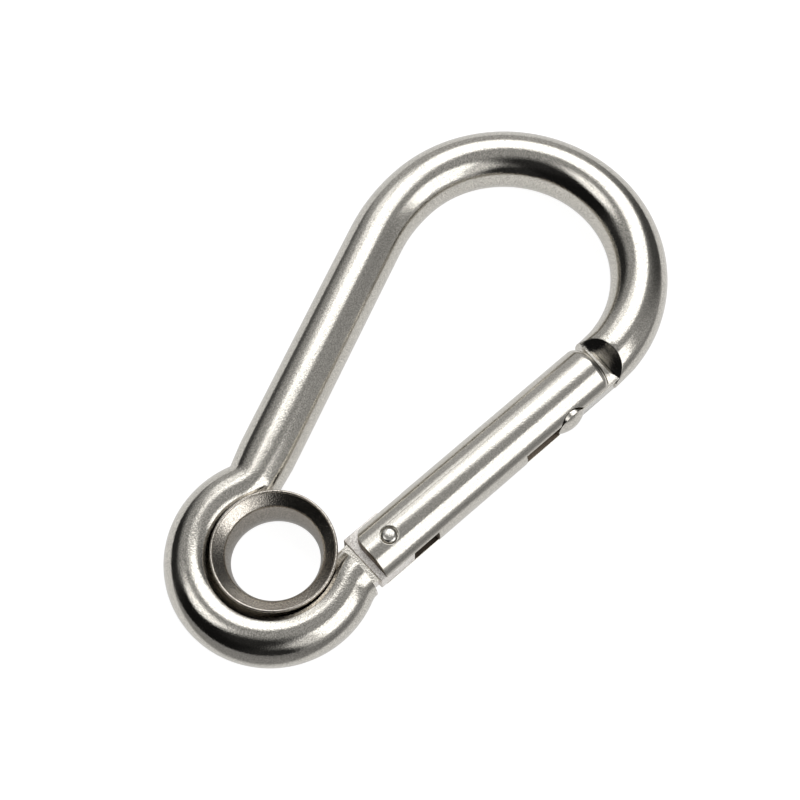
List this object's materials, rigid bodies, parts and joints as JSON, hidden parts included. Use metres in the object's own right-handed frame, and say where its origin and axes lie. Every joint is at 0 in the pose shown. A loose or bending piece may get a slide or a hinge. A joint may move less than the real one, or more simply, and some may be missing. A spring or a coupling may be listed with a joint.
{
  "type": "carbine hook",
  "caption": "Pear-shaped spring-gate carbine hook bent from round stainless bar, with a thimble eye and a T-locking sprung gate.",
  "frame": {"origin": "under the middle of the bounding box, on the surface that the hook lies flat on", "axes": "+X along the hook from the eye to the bow, +Z through its thickness, +Y towards the fixed leg; the gate is on the -Y side"},
  "size_m": [0.1198, 0.0604, 0.0117],
  "materials": {
    "body_steel": "tumbled and polished stainless steel",
    "thimble_steel": "pressed stainless sheet, polished, slightly grainy",
    "gate_steel": "turned and polished stainless steel",
    "rivet_steel": "polished stainless rivet",
    "plunger_steel": "turned stainless pin",
    "spring_steel": "drawn stainless spring wire"
  },
  "bodies": {
    "hook": {"hook_body": "body_steel", "eye_thimble": "thimble_steel", "hinge_rivet": "rivet_steel"},
    "gate_body": {"gate": "gate_steel", "gate_spring": "spring_steel"},
    "plunger": {"spring_plunger": "plunger_steel"}
  },
  "joints": [
    {"name": "gate_hinge", "type": "hinge", "parent": "hook", "child": "gate_body", "pos_m": [-0.02606, -0.01451, 0.00583], "axis": [0, 0, 1], "range_deg": [0, 38], "stiffness_Nm_per_rad": 0.15, "springref_deg": -28.65},
    {"name": "plunger_slide", "type": "slide", "parent": "gate_body", "child": "plunger", "axis": [0.9814, -0.1918, 0], "range_m": [0, 0.002], "deforming": ["gate_spring"]}
  ],
  "couplings": [
    {"joint": "plunger_slide", "follows": "gate_hinge", "m_per_rad": 0.003}
  ]
}
